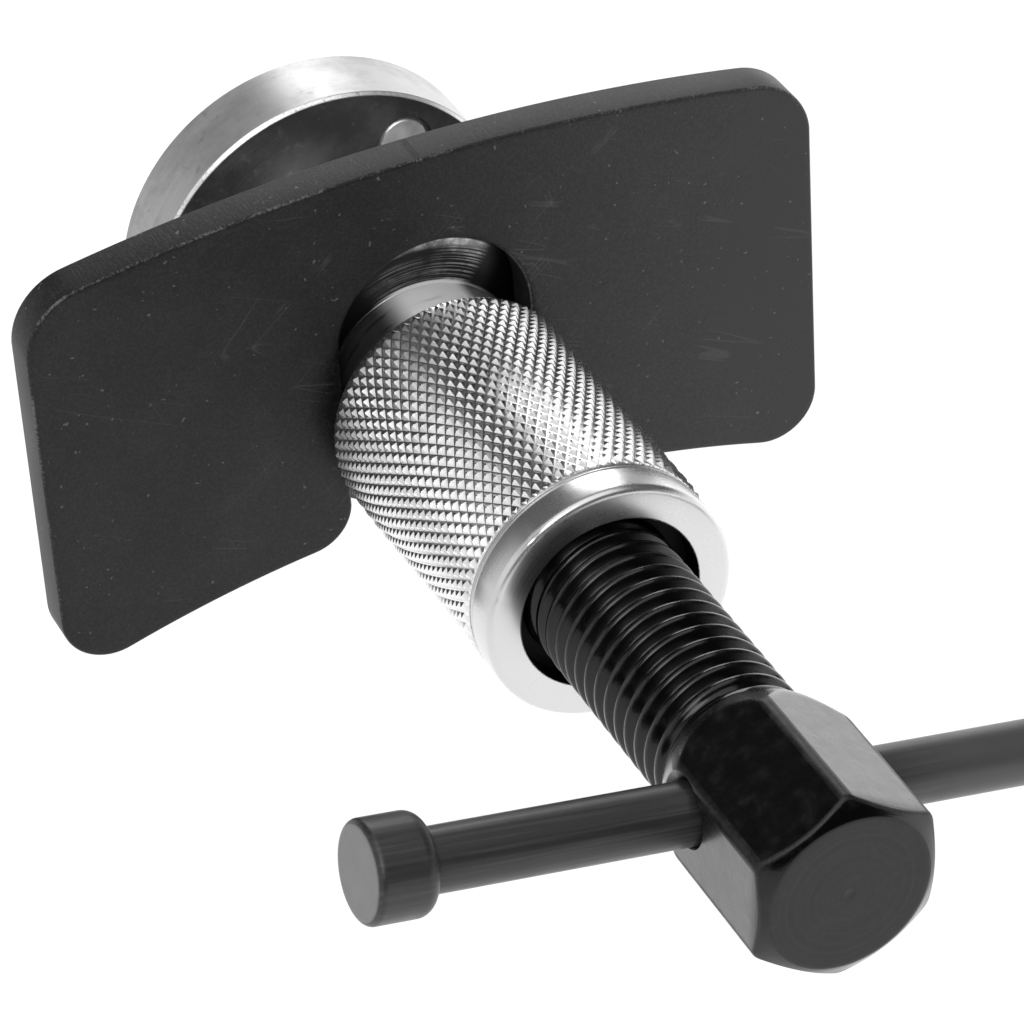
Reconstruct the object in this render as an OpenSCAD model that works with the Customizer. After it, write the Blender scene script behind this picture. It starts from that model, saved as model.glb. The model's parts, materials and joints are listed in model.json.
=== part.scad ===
// Brake caliper piston wind-back tool.
// The origin is the centre of the adaptor disc's working face. +Y runs along the tool's axis,
// out of that face, so the handle is towards -Y. +Z is up. All sizes are millimetres.

/* [Adaptor disc] */
// Diameter of the disc that pushes the piston
disc_d = 50; // [46:0.5:70]
// Thickness of the disc
disc_t = 10.5; // [8:0.25:16]
// Edge break on both rims of the disc
disc_edge = 0.5; // [0.2:0.1:1.5]

/* [Piston pins] */
// Diameter of the pins' shanks, pressed into the disc
piston_pin_d = 7.5; // [6:0.25:8]
// Diameter of the nibs that stand out and turn the piston
piston_nib_d = 7; // [4:0.25:7.25]
// Diameter of the circle through both pins
piston_pin_pcd = 37.5; // [34:0.25:38]
// How far the nibs stand out of the disc
piston_pin_reach = 6; // [3:0.5:12]
// How far the pins stop short of the disc's rear face
piston_pin_inset = 0.3; // [0.1:0.1:1]
// Edge break on the pins' ends
piston_pin_edge = 0.7; // [0.2:0.1:1.2]
// Angle of the upper pin from +X, towards +Z
piston_pin_angle = 54.7; // [0:0.1:90]

/* [Drive head] */
// Diameter of the head on the spindle's front end
drive_d = 28; // [26:0.5:29]
// Length of the drive head
drive_l = 12; // [11:0.5:18]
// Edge break on both ends of the drive head
drive_edge = 0.8; // [0.3:0.1:1.5]
// Diameter of the drive pegs
peg_d = 5; // [3:0.25:5]
// Diameter of the circle through both pegs
peg_pcd = 20; // [19:0.25:21]
// How far the pegs stand out of the head, into the disc
peg_reach = 5; // [3:0.25:6]
// How deep the pegs are pressed into the head
peg_depth = 5; // [3:0.25:6]
// Gap round each peg in the disc
peg_clearance = 0.08; // [0.03:0.01:0.1]
// Depth left free past each peg's tip
peg_end_gap = 0.5; // [0.2:0.1:1]
// Diameter of the magnet
magnet_d = 10; // [6:0.5:12]
// Thickness of the magnet
magnet_t = 4; // [2:0.25:5]
// How far the magnet lies below the head's face
magnet_inset = 0.2; // [0.1:0.05:0.5]
// Wall between the magnet's pocket and the journal
head_web = 1.5; // [1:0.25:3]

/* [Head pin] */
// Diameter of the spring pin through head and journal
head_pin_d = 3; // [2:0.25:3]
// Wall of the spring pin
head_pin_wall = 0.6; // [0.4:0.05:0.8]
// Width of the spring pin's slit
head_pin_slit = 0.7; // [0.4:0.1:1]

/* [Stop washer] */
// Outer diameter of the loose washer
washer_d = 27; // [22:0.5:30]
// Thickness of the washer
washer_t = 2; // [1.5:0.25:4]
// Gap round the journal
washer_clearance = 0.25; // [0.1:0.05:0.4]
// Gap at each face of the washer
washer_float = 0.2; // [0.1:0.05:0.5]

/* [Spindle] */
// Outer diameter of the thread
thread_d = 19.05; // [16:0.05:20]
// Pitch of the thread
thread_pitch = 2.54; // [1.5:0.01:3]
// Depth of the thread
thread_depth = 1.25; // [0.8:0.05:1.4]
// Width of the thread's crests
thread_crest = 0.6; // [0.3:0.05:0.7]
// Width of the thread's roots
thread_root = 0.4; // [0.2:0.05:0.6]
// Plain shank between the head and the thread
thread_run_out = 3.4; // [2:0.1:6]
// Diameter of the plain journal at the front end
journal_d = 13; // [10:0.5:13]
// Free gap between the nut's flange and the stop washer
retract_room = 7.3; // [2:0.1:20]
// Bare thread between the nut and the hexagon head
bare_thread = 33; // [10:0.5:60]
// Size across the flats of the hexagon head
hex_af = 21.5; // [21:0.5:26]
// Rounding of the hexagon's corners
hex_round = 1.5; // [0.5:0.1:3]
// How far the hexagon is turned back from square to the tommy bar, in degrees
hex_turn = 7.6; // [0:0.1:15]
// Length of the hexagon head
hex_l = 25.2; // [18:0.1:32]
// Slope of the chamfer on the hexagon's end face, in degrees
hex_chamfer_angle = 33; // [15:1:40]
// Slope of the longer chamfer towards the thread, in degrees
hex_front_angle = 64; // [30:1:66]
// Diameter of the flat inside both chamfers
hex_end_d = 19.8; // [19.2:0.1:21]

/* [Tommy bar] */
// Diameter of the bar
bar_d = 7.4; // [5:0.1:8]
// Length of the bar over both knobs
bar_l = 110; // [90:1:180]
// How far the bar's middle lies right of the spindle's axis
bar_shift = 5.3; // [-20:0.1:20]
// How far the right end hangs down, in degrees
bar_tilt = 10.8; // [-45:0.1:45]
// Distance of the bar's axis from the hexagon's front end
bar_inset = 7; // [6.5:0.25:10]
// Gap round the bar in its hole
bar_clearance = 0.08; // [0.03:0.01:0.1]
// Countersink at both mouths of the bar's hole
bar_hole_edge = 0.6; // [0.2:0.1:0.8]
// Diameter of the knobs
knob_d = 11.7; // [10.5:0.1:16]
// Length of the knobs
knob_l = 7.6; // [7:0.1:14]
// Rounding of the knobs' end faces
knob_round = 0.9; // [0.5:0.1:2]
// Rounding of the knobs' shoulders, towards the bar
knob_shoulder = 1.9; // [0.5:0.1:2]
// How deep the bar is pressed into each knob
knob_socket = 6; // [4:0.25:6]

/* [Thrust nut] */
// Diameter over the knurled grip
grip_d = 32; // [31:0.25:36]
// Length of the knurled grip
grip_l = 39.2; // [25:0.1:60]
// Edge break on both ends of the grip
grip_edge = 0.5; // [0.3:0.1:1]
// Diameter of the polished collar
collar_d = 31.2; // [30.6:0.1:31.6]
// Length of the polished collar
collar_l = 5.4; // [3:0.1:8]
// Depth of the turned groove between grip and collar
collar_groove = 0.25; // [0.1:0.05:0.5]
// Width of that groove
collar_groove_w = 0.7; // [0.4:0.1:1.2]
// Diameter of the flat end face
end_face_d = 30.1; // [28:0.1:30.4]
// Diameter of the counterbore in the end face
counterbore_d = 22.7; // [21:0.1:25]
// Depth of the counterbore
counterbore_l = 3.5; // [2:0.25:8]
// Diameter of the neck that the plate drops over
neck_d = 25; // [24:0.1:26]
// Width of the groove round the neck
neck_l = 8.9; // [8:0.1:16]
// Diameter of the thrust flange
flange_d = 38; // [34:0.5:42]
// Thickness of the thrust flange
flange_t = 5; // [4:0.25:10]
// Edge break on the flange
flange_edge = 0.6; // [0.3:0.1:1.5]
// Gap round the spindle's thread in the nut
thread_clearance = 0.075; // [0.03:0.005:0.1]

/* [Reaction plate] */
// Width of the plate
plate_w = 103.2; // [90:0.1:130]
// Thickness of the plate
plate_t = 5.5; // [4:0.1:7]
// Height of the plate's middle above the slot's centre
plate_rise = 24.8; // [20:0.1:40]
// Depth of the plate's middle below the slot's centre
plate_drop = 26.1; // [20:0.1:40]
// Radius of the bulging top edge
plate_top_r = 253; // [160:1:600]
// Radius of the hollow bottom edge
plate_bottom_r = 156; // [110:1:600]
// Rounding of the top corners
plate_top_corner = 8.75; // [2:0.25:10]
// Rounding of the bottom corners
plate_bottom_corner = 6.5; // [2:0.25:10]
// Rounding of the slot's mouth
plate_mouth_round = 6; // [2:0.25:8]
// Gap between the slot and the neck
slot_clearance = 0.3; // [0.2:0.05:0.6]
// Gap between the plate and the flange
plate_gap = 0.5; // [0.2:0.1:1.5]
// How far the plate is lifted off its seat on the neck
plate_lift = 9.6; // [0:0.1:12]

/* [Hidden] */
$fn = 96;

// Overrun of a cutter past the face that it cuts
over = 1;
// How far a corner's arc runs out past both edges, so that it leaves no step where it meets them
blend = 0.002;

// Stations along the axis, from the disc's working face to the end of the head
disc_rear = -disc_t;
drive_rear = disc_rear - drive_l;
washer_front = drive_rear - washer_float;
washer_rear = washer_front - washer_t;
thread_front = washer_rear - washer_float;
flange_rear = washer_rear - retract_room;
flange_front = flange_rear - flange_t;
grip_front = flange_front - neck_l;
grip_rear = grip_front - grip_l;
nut_end = grip_rear - collar_l;
hex_front = nut_end - bare_thread;
hex_end = hex_front - hex_l;
bar_y = hex_front - bar_inset;
plate_rear = flange_front - plate_gap;
plate_front = plate_rear - plate_t;

// Drive head
magnet_pocket = magnet_t + magnet_inset;
journal_l = drive_l - magnet_pocket - head_web;
journal_tip = drive_rear + journal_l;
head_pin_y = drive_rear + journal_l / 2;
peg_angle = piston_pin_angle + 90;

// Spindle and bar
thread_root_r = thread_d / 2 - thread_depth;
thread_flank = (thread_pitch - thread_crest - thread_root) / 2;
hex_corner_r = hex_af / sqrt(3);
hex_chamfer_l = (hex_corner_r - hex_end_d / 2) * tan(hex_chamfer_angle);
hex_front_l = (hex_corner_r - hex_end_d / 2) * tan(hex_front_angle);
bar_hole_r = bar_d / 2 + bar_clearance;
bar_left = bar_shift - bar_l / 2;
bar_right = bar_shift + bar_l / 2;
bar_core_inset = knob_l - knob_socket;

// Plate outline, about the slot's centre
slot_r = neck_d / 2 + slot_clearance;
half_w = plate_w / 2;
top_centre = [0, plate_rise - plate_top_r];
bottom_centre = [0, -plate_drop - plate_bottom_r];
mouth_depth = plate_drop + plate_bottom_r - sqrt(pow(plate_bottom_r, 2) - pow(half_w, 2));

// Turns a shape built along +Z to lie along +Y, with its start at y
module along_y(y = 0) {
    translate([0, y, 0]) rotate([-90, 0, 0]) children();
}

// Turns a shape built along +Z to lie along the tommy bar, with its start at x
module along_bar(x = 0) {
    translate([0, bar_y, 0]) rotate([0, bar_tilt, 0]) translate([x, 0, 0]) rotate([0, 90, 0]) children();
}

// Places a shape at an angle on a pin circle, keeping its direction along the axis
module on_circle(pcd, angle) {
    translate([pcd / 2 * cos(angle), 0, pcd / 2 * sin(angle)]) children();
}

// Round bar from y0 to y1 with an edge break at both ends
module chamfered_bar(d, y0, y1, edge) {
    along_y(y0) rotate_extrude() polygon([
        [0, 0], [d / 2 - edge, 0], [d / 2, edge],
        [d / 2, y1 - y0 - edge], [d / 2 - edge, y1 - y0], [0, y1 - y0]]);
}

// Straight cutter or bar from y0 to y1
module plain_bar(d, y0, y1) {
    along_y(y0) cylinder(d = d, h = y1 - y0);
}

// Knurled nut: grip, collar with a counterbored end, neck and thrust flange, turned in one piece
module thrust_nut() {
    groove_r = collar_d / 2 - collar_groove;
    collar_front = collar_l - collar_groove_w;
    collar_edge = (collar_d - end_face_d) / 2;
    neck_start = collar_l + grip_l;
    flange_start = neck_start + neck_l;
    nut_l = flange_start + flange_t;
    color("#c9cacb") difference() {
        along_y(nut_end) rotate_extrude() polygon([
            [0, 0], [end_face_d / 2, 0], [collar_d / 2, collar_edge], [collar_d / 2, collar_front],
            [groove_r, collar_front], [groove_r, collar_l],
            [grip_d / 2 - grip_edge, collar_l], [grip_d / 2, collar_l + grip_edge],
            [grip_d / 2, neck_start - grip_edge], [grip_d / 2 - grip_edge, neck_start],
            [neck_d / 2, neck_start], [neck_d / 2, flange_start],
            [flange_d / 2 - flange_edge, flange_start], [flange_d / 2, flange_start + flange_edge],
            [flange_d / 2, nut_l - flange_edge], [flange_d / 2 - flange_edge, nut_l], [0, nut_l]]);
        plain_bar(thread_d + 2 * thread_clearance, nut_end - over, flange_rear + over);
        plain_bar(counterbore_d, nut_end - over, nut_end + counterbore_l);
    }
}

// Point on a line from a through b, at a multiple k of their distance
function beyond(a, b, k) = a + k * (b - a);

// Point on a circle in the direction of another point
function towards(centre, target, r) = centre + r * (target - centre) / norm(target - centre);

// Material between a corner and the arc that rounds it, from the arc's centre and two tangent points
module corner_waste(centre, r, tangent_a, tangent_b) {
    a = beyond(centre, tangent_a, 1.6);
    b = beyond(centre, tangent_b, 1.6);
    difference() {
        polygon([centre, a, a + b - centre, b]);
        translate(centre) circle(r + blend);
    }
}

// Waste at the plate's right-hand corners: top, bottom and the slot's mouth
module plate_corner_waste() {
    top = [half_w - plate_top_corner, top_centre[1]
        + sqrt(pow(plate_top_r - plate_top_corner, 2) - pow(half_w - plate_top_corner, 2))];
    bottom = [half_w - plate_bottom_corner, bottom_centre[1]
        + sqrt(pow(plate_bottom_r + plate_bottom_corner, 2) - pow(half_w - plate_bottom_corner, 2))];
    mouth = [slot_r + plate_mouth_round, bottom_centre[1]
        + sqrt(pow(plate_bottom_r + plate_mouth_round, 2) - pow(slot_r + plate_mouth_round, 2))];
    corner_waste(top, plate_top_corner, [half_w, top[1]], towards(top_centre, top, plate_top_r));
    corner_waste(bottom, plate_bottom_corner, [half_w, bottom[1]],
        towards(bottom_centre, bottom, plate_bottom_r));
    corner_waste(mouth, plate_mouth_round, [slot_r, mouth[1]],
        towards(bottom_centre, mouth, plate_bottom_r));
}

// Outline of the plate, about the slot's centre
module plate_outline() {
    difference() {
        intersection() {
            translate([-half_w, -mouth_depth - over]) square([plate_w, plate_rise + mouth_depth + 2 * over]);
            translate(top_centre) circle(plate_top_r);
        }
        translate(bottom_centre) circle(plate_bottom_r);
        circle(slot_r);
        translate([-slot_r, -mouth_depth - over]) square([2 * slot_r, mouth_depth + over]);
        plate_corner_waste();
        mirror([1, 0]) plate_corner_waste();
    }
}

// Blanked plate with a U slot that drops over the nut's neck
module reaction_plate() {
    color("#3a3b3d") translate([0, plate_rear, plate_lift])
        rotate([90, 0, 0]) linear_extrude(plate_t) plate_outline();
}

// Hexagon with rounded corners, one of them on the X axis
module hex_outline() {
    centre = [hex_corner_r - hex_round / cos(30), 0];
    side = hex_round * [cos(30), sin(30)];
    difference() {
        circle(hex_corner_r, $fn = 6);
        for (k = [0:5]) rotate(60 * k)
            corner_waste(centre, hex_round, centre + side, centre + [side[0], -side[1]]);
    }
}

// Hexagon head, chamfered at both ends
module hex_head() {
    along_y(hex_end) intersection() {
        rotate([0, 0, 30]) linear_extrude(hex_l) hex_outline();
        rotate_extrude() polygon([
            [0, 0], [hex_end_d / 2, 0], [hex_corner_r, hex_chamfer_l],
            [hex_corner_r, hex_l - hex_front_l], [hex_end_d / 2, hex_l], [0, hex_l]]);
    }
}

// Cross hole for the tommy bar, countersunk at both flats
module bar_hole() {
    mouth_r = bar_hole_r + bar_hole_edge;
    along_bar(-hex_af / 2 - over) cylinder(r = bar_hole_r, h = hex_af + 2 * over);
    for (side = [0, 1]) along_bar() mirror([0, 0, side])
        translate([0, 0, hex_af / 2 - bar_hole_edge])
            cylinder(r1 = bar_hole_r, r2 = mouth_r + over, h = bar_hole_edge + over);
}

// Corners of the groove between two crests of the thread, the first of them ending at y
function thread_groove(y) = [
    [thread_d / 2, y], [thread_root_r, y + thread_flank],
    [thread_root_r, y + thread_flank + thread_root], [thread_d / 2, y + thread_pitch - thread_crest]];

// Screw with its hexagon head, and a plain journal for the stop washer and the drive head. The thread's turns
// are rings of its pitch.
module spindle() {
    thread_l = thread_front - hex_front;
    turns = floor((thread_l - thread_run_out - thread_depth) / thread_pitch);
    color("#232324") difference() {
        union() {
            rotate([0, bar_tilt - hex_turn, 0]) hex_head();
            along_y(hex_front) rotate_extrude() polygon([
                [0, -over], [thread_d / 2, -over],
                for (i = [0:turns - 1]) each thread_groove(thread_run_out + i * thread_pitch),
                [thread_d / 2, thread_l - thread_depth], [thread_root_r, thread_l],
                [journal_d / 2, thread_l], [journal_d / 2, journal_tip - hex_front],
                [0, journal_tip - hex_front]]);
        }
        bar_hole();
        head_pin_hole();
    }
}

// Round bar that turns the spindle
module tommy_bar() {
    color("#3c3c3d") along_bar(bar_left + bar_core_inset)
        cylinder(d = bar_d, h = bar_l - 2 * bar_core_inset);
}

// Knob with rounded edges and a blind socket for the bar, standing on its end face
module knob() {
    r = knob_d / 2;
    difference() {
        rotate_extrude() union() {
            square([r - knob_round, knob_l - knob_shoulder]);
            square([r - knob_shoulder, knob_l]);
            translate([0, knob_round]) square([r, knob_l - knob_round - knob_shoulder]);
            translate([r - knob_round, knob_round]) circle(knob_round);
            translate([r - knob_shoulder, knob_l - knob_shoulder]) circle(knob_shoulder);
        }
        translate([0, 0, bar_core_inset]) cylinder(d = bar_d, h = knob_socket + over);
    }
}

module bar_knob_left() {
    color("#3c3c3d") along_bar(bar_left) knob();
}

module bar_knob_right() {
    color("#3c3c3d") along_bar(bar_right) mirror([0, 0, 1]) knob();
}

// Hole for the spring pin, straight through head and journal
module head_pin_hole() {
    translate([0, head_pin_y, 0]) rotate([0, 90 - piston_pin_angle, 0])
        translate([0, 0, -drive_d / 2 - over]) cylinder(d = head_pin_d, h = drive_d + 2 * over);
}

// Head on the spindle's front end, with a magnet pocket and two peg holes in its face
module drive_head() {
    color("#8d8f92") difference() {
        chamfered_bar(drive_d, drive_rear, disc_rear, drive_edge);
        plain_bar(journal_d, drive_rear - over, journal_tip);
        plain_bar(magnet_d, disc_rear - magnet_pocket, disc_rear + over);
        for (turn = [0, 180]) on_circle(peg_pcd, peg_angle + turn)
            plain_bar(peg_d, disc_rear - peg_depth, disc_rear + over);
        head_pin_hole();
    }
}

// Rolled spring pin with a slit along its length
module head_pin() {
    pin_l = drive_d - 2 * drive_edge;
    color("#9a9b9d") translate([0, head_pin_y, 0]) rotate([0, 90 - piston_pin_angle, 0])
        translate([0, 0, -pin_l / 2]) difference() {
            cylinder(d = head_pin_d, h = pin_l);
            translate([0, 0, -over]) cylinder(d = head_pin_d - 2 * head_pin_wall, h = pin_l + 2 * over);
            translate([0, -head_pin_slit / 2, -over]) cube([head_pin_d, head_pin_slit, pin_l + 2 * over]);
        }
}

module magnet() {
    color("#b5b6b8") plain_bar(magnet_d, disc_rear - magnet_pocket, disc_rear - magnet_inset);
}

module drive_peg(turn) {
    color("#b5b6b8") on_circle(peg_pcd, peg_angle + turn)
        plain_bar(peg_d, disc_rear - peg_depth, disc_rear + peg_reach);
}

module drive_peg_left() {
    drive_peg(0);
}

module drive_peg_right() {
    drive_peg(180);
}

// Loose washer that meets the nut's flange when the spindle is wound right back
module stop_washer() {
    color("#a9abad") difference() {
        plain_bar(washer_d, washer_rear, washer_front);
        plain_bar(journal_d + 2 * washer_clearance, washer_rear - over, washer_front + over);
    }
}

// Disc that pushes the piston, with holes for its pins and for the drive pegs
module adaptor_disc() {
    color("#b3b4b5") difference() {
        chamfered_bar(disc_d, disc_rear, 0, disc_edge);
        for (turn = [0, 180]) {
            on_circle(piston_pin_pcd, piston_pin_angle + turn)
                plain_bar(piston_pin_d, disc_rear - over, over);
            on_circle(peg_pcd, peg_angle + turn)
                plain_bar(peg_d + 2 * peg_clearance, disc_rear - over, disc_rear + peg_reach + peg_end_gap);
        }
    }
}

// Shouldered pin: a shank pressed in flush with the disc's working face, and a slimmer nib
module piston_pin(turn) {
    shank_r = piston_pin_d / 2;
    nib_r = piston_nib_d / 2;
    shank_l = disc_t - piston_pin_inset;
    pin_l = shank_l + piston_pin_reach;
    color("#a4a5a6") on_circle(piston_pin_pcd, piston_pin_angle + turn)
        along_y(disc_rear + piston_pin_inset) rotate_extrude() polygon([
            [0, 0], [shank_r - piston_pin_edge, 0], [shank_r, piston_pin_edge], [shank_r, shank_l],
            [nib_r, shank_l], [nib_r, pin_l - piston_pin_edge], [nib_r - piston_pin_edge, pin_l], [0, pin_l]]);
}

module piston_pin_upper() {
    piston_pin(0);
}

module piston_pin_lower() {
    piston_pin(180);
}

thrust_nut();
reaction_plate();
spindle();
tommy_bar();
bar_knob_left();
bar_knob_right();
drive_head();
head_pin();
magnet();
drive_peg_left();
drive_peg_right();
stop_washer();
adaptor_disc();
piston_pin_upper();
piston_pin_lower();
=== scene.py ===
"""Looks of a brake caliper piston wind-back tool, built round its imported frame.

Lengths in the dataclass fields are millimetres, and meshes are metres. In the frame's axes +Y runs along
the tool towards the adaptor disc, the handle is towards -Y, and +Z is up.
"""

from __future__ import annotations

import json
import logging
import math
from dataclasses import dataclass
from enum import Enum
from typing import Any, Sequence

import bpy
import numpy as np
from mathutils import Matrix, Vector
from mathutils.geometry import tessellate_polygon

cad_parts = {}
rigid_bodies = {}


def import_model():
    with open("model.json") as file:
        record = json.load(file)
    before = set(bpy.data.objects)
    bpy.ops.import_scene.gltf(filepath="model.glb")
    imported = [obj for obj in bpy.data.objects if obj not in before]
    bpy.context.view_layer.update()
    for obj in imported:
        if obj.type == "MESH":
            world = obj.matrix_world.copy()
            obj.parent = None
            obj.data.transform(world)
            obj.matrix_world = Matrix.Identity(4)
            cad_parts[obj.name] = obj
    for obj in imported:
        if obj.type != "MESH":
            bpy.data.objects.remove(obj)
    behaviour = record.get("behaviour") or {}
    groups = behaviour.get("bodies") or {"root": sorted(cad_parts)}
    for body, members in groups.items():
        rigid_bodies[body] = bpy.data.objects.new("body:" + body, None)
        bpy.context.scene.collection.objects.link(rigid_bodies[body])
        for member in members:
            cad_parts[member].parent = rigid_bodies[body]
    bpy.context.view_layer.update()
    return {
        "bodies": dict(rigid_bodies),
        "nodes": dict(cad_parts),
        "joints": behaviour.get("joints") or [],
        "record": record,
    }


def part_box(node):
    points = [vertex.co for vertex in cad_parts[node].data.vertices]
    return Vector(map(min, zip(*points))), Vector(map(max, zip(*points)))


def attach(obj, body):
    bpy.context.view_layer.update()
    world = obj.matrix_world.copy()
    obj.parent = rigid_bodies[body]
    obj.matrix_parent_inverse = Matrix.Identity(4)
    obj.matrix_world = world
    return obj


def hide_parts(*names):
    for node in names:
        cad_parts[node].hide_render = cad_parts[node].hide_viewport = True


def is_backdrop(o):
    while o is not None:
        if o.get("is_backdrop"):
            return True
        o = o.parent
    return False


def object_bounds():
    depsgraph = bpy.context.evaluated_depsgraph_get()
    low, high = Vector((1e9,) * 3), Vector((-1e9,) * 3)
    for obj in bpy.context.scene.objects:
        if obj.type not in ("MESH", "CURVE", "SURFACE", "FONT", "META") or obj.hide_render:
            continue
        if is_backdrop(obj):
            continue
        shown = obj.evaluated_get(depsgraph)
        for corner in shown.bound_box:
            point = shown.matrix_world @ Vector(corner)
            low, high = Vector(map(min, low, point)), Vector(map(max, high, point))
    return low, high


LOG = logging.getLogger("piston_tool")
MM = 0.001

EASE_STEPS = 4

Array = np.ndarray
Colour = tuple[float, float, float]
Place = tuple[float, float, float]


class Body(str, Enum):
    """Moving bodies of the tool."""

    NUT = "nut"
    PLATE = "plate"
    SCREW = "screw"


class Mark(str, Enum):
    """Names of the per-vertex attributes that the finishes read."""

    GROOVE = "groove"
    CREST = "crest"
    RIM = "rim"
    WORN = "worn"
    ALONG = "along"


def unit(vectors: Array) -> Array:
    """Vectors scaled to length one, with zero vectors left alone."""
    length = np.linalg.norm(vectors, axis=-1, keepdims=True)
    return vectors / np.where(length > 0, length, 1.0)


def eased(corners: Array, cut: Array) -> Array:
    """Rows of an open profile whose corners are eased, for all columns at once.

    Each corner gives way to a parabola that is tangent to both sides, drawn with the corner P as its
    control point: (1-s)^2 A + 2s(1-s) P + s^2 B.

    Args:
        corners: Corners by columns by (radius, along), in millimetres.
        cut: Length taken off both sides of each corner, none at the first and the last.

    Returns:
        Rows by columns by (radius, along). A corner that isn't cut gives rows that coincide.
    """
    start = corners + unit(np.roll(corners, 1, axis=0) - corners) * cut[:, None, None]
    end = corners + unit(np.roll(corners, -1, axis=0) - corners) * cut[:, None, None]
    s = np.linspace(0.0, 1.0, EASE_STEPS + 1)[None, :, None, None]
    curve = (1 - s) ** 2 * start[:, None] + 2 * s * (1 - s) * corners[:, None] + s**2 * end[:, None]
    return curve.reshape(-1, *corners.shape[1:])


def lathe_profile(corners: Sequence[tuple[float, float, float]]) -> Array:
    """Eased profile of a turned piece, from corners given as (radius, along, cut)."""
    given = np.array(corners, float)
    return eased(given[:, None, :2], given[:, 2])


def turned(profile: Array, angles: Array) -> Array:
    """Points of a profile turned about the tool's axis, with x = r cos(angle) and z = r sin(angle).

    Args:
        profile: Rows by columns by (radius, y), in millimetres; one column serves all angles.
        angles: Angle of each column, in radians.

    Returns:
        Points, rows by columns by 3, in millimetres.
    """
    radius, along = profile[..., 0], profile[..., 1]
    grid = np.broadcast_arrays(radius * np.cos(angles), along, radius * np.sin(angles))
    return np.stack(grid, axis=-1)


def ring_quads(upper: Array, lower: Array) -> Array:
    """Quads between two closed rows of vertex numbers of the same length.

    Args:
        upper: Vertex numbers, rings by columns.
        lower: Vertex numbers of the rings that follow.

    Returns:
        Quads, four vertex numbers each.
    """
    quads = np.stack([upper, np.roll(upper, -1, -1), np.roll(lower, -1, -1), lower], axis=-1)
    return quads.reshape(-1, 4)


def split(quads: Array) -> Array:
    """Two triangles for each quad, cut from its first to its third corner."""
    return np.concatenate([quads[:, [0, 1, 2]], quads[:, [0, 2, 3]]])


def build_piece(
    name: str,
    points: Array,
    triangles: Array,
    marks: dict[Mark, Array] | None = None,
    sharp: float = 32.0,
) -> bpy.types.Object:
    """Makes a closed mesh object, with coincident points merged and its faces turned outwards.

    Args:
        name: Name of the piece.
        points: Points in millimetres, one row each.
        triangles: Vertex numbers, three to a row.
        marks: Values for each point, by attribute.
        sharp: Angle in degrees above which an edge stays crisp.

    Returns:
        The new object, linked to the scene.
    """
    _, first, merged = np.unique(np.round(points * 1e5).astype(np.int64), axis=0,
                                 return_index=True, return_inverse=True)
    points = points[first] * MM
    faces = merged.reshape(-1)[triangles]
    whole = (faces[:, 0] != faces[:, 1]) & (faces[:, 1] != faces[:, 2]) & (faces[:, 2] != faces[:, 0])
    faces = faces[whole]
    a, b, c = (points[faces[:, k]] for k in range(3))
    if np.einsum("ij,ij->i", a, np.cross(b, c)).sum() < 0:
        faces = faces[:, ::-1]
    mesh = bpy.data.meshes.new(name)
    mesh.vertices.add(len(points))
    mesh.vertices.foreach_set("co", points.astype(np.float32).ravel())
    mesh.loops.add(faces.size)
    mesh.loops.foreach_set("vertex_index", faces.astype(np.int32).ravel())
    mesh.polygons.add(len(faces))
    mesh.polygons.foreach_set("loop_start", np.arange(0, faces.size, 3, dtype=np.int32))
    mesh.update(calc_edges=True)
    for mark, values in (marks or {}).items():
        layer = mesh.attributes.new(mark.value, "FLOAT", "POINT")
        layer.data.foreach_set("value", values[first].astype(np.float32))
    mesh.shade_smooth()
    mesh.set_sharp_from_angle(angle=math.radians(sharp))
    piece = bpy.data.objects.new(name, mesh)
    bpy.context.scene.collection.objects.link(piece)
    return piece


@dataclass
class Signal:
    """One value inside a material, on which sums can be written as Python expressions."""

    graph: "Graph"
    socket: bpy.types.NodeSocket

    def math(self, operation: str, other: Any = None) -> "Signal":
        """Adds a Math node on this value.

        Args:
            operation: The node's operation.
            other: Second input, a number or another value, where the operation has one.

        Returns:
            The node's result.
        """
        sockets = {0: self} if other is None else {0: self, 1: other}
        return self.graph.node("ShaderNodeMath", {"operation": operation}, sockets)[0]

    def __add__(self, other: Any) -> "Signal":
        """Sum."""
        return self.math("ADD", other)

    __radd__ = __add__

    def __sub__(self, other: Any) -> "Signal":
        """Difference."""
        return self.math("SUBTRACT", other)

    def __rsub__(self, other: float) -> "Signal":
        """Difference from a number."""
        return self.graph.node("ShaderNodeMath", {"operation": "SUBTRACT"}, {0: other, 1: self})[0]

    def __mul__(self, other: Any) -> "Signal":
        """Product."""
        return self.math("MULTIPLY", other)

    __rmul__ = __mul__

    def __truediv__(self, other: Any) -> "Signal":
        """Quotient."""
        return self.math("DIVIDE", other)

    def __abs__(self) -> "Signal":
        """Size without sign."""
        return self.math("ABSOLUTE")

    def step(self, low: float, high: float) -> "Signal":
        """Smooth rise from 0 at low to 1 at high, or a fall where low is the larger.

        Args:
            low: Value at which the result is 0.
            high: Value at which it is 1.

        Returns:
            The eased share from 0 to 1.
        """
        settings = {"interpolation_type": "SMOOTHSTEP"}
        ends = (low, high, 0.0, 1.0) if low < high else (high, low, 1.0, 0.0)
        sockets = {0: self, 1: ends[0], 2: ends[1], 3: ends[2], 4: ends[3]}
        return self.graph.node("ShaderNodeMapRange", settings, sockets)[0]


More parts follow.
